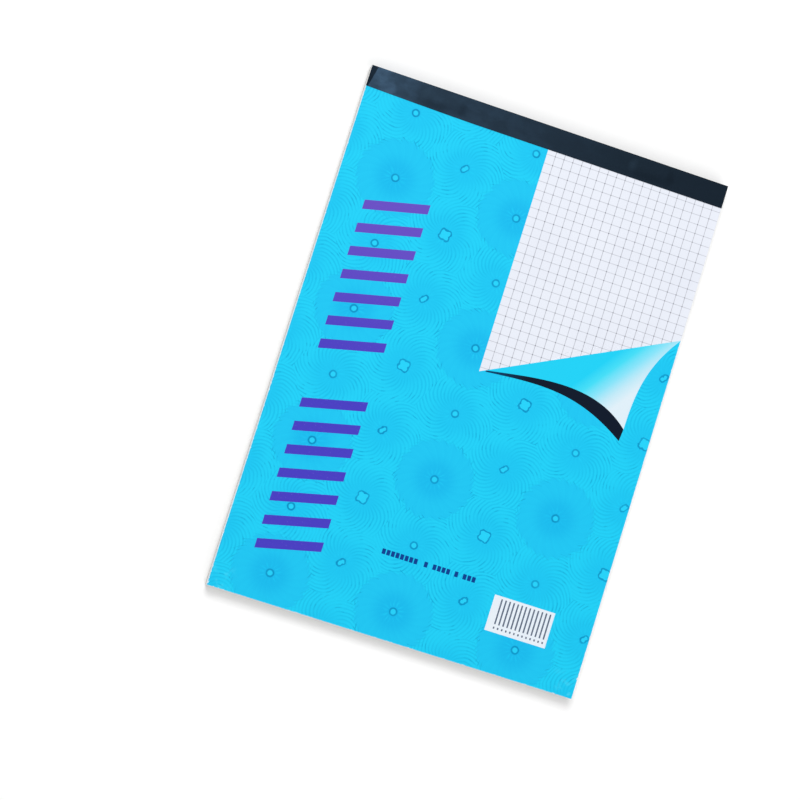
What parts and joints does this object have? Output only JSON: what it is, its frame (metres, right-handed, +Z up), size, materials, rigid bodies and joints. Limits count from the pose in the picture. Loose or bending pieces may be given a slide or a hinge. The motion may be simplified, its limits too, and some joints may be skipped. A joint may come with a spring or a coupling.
{
  "type": "note pad",
  "caption": "Note pad of squared sheets, bound at the head by staples under a black tape, with a blue printed cover that folds up and over and a grey board back.",
  "frame": {"origin": "under the middle of the pad, on the surface that it lies on", "axes": "+X across the width to the right of a reader, +Y along the length towards the bound head, +Z up through the front cover"},
  "size_m": [0.148, 0.2102, 0.0078],
  "materials": {
    "cover_card": "glossy printed card",
    "page_paper": "plain uncoated white paper",
    "grey_board": "uncoated recycled grey board",
    "binding_tape": "softly glossy black tape",
    "staple_wire": "galvanised wire"
  },
  "bodies": {
    "pad": {"back_board": "grey_board", "page_block": "page_paper", "front_cover_bound_edge": "cover_card", "binding_tape": "binding_tape", "staple_left": "staple_wire", "staple_right": "staple_wire"},
    "cover": {"front_cover": "cover_card"}
  },
  "joints": [
    {"name": "front_cover_hinge", "type": "hinge", "parent": "pad", "child": "cover", "pos_m": [0, 0.09581, 0.00756], "axis": [-1, 0, 0], "range_deg": [0, 178]}
  ]
}
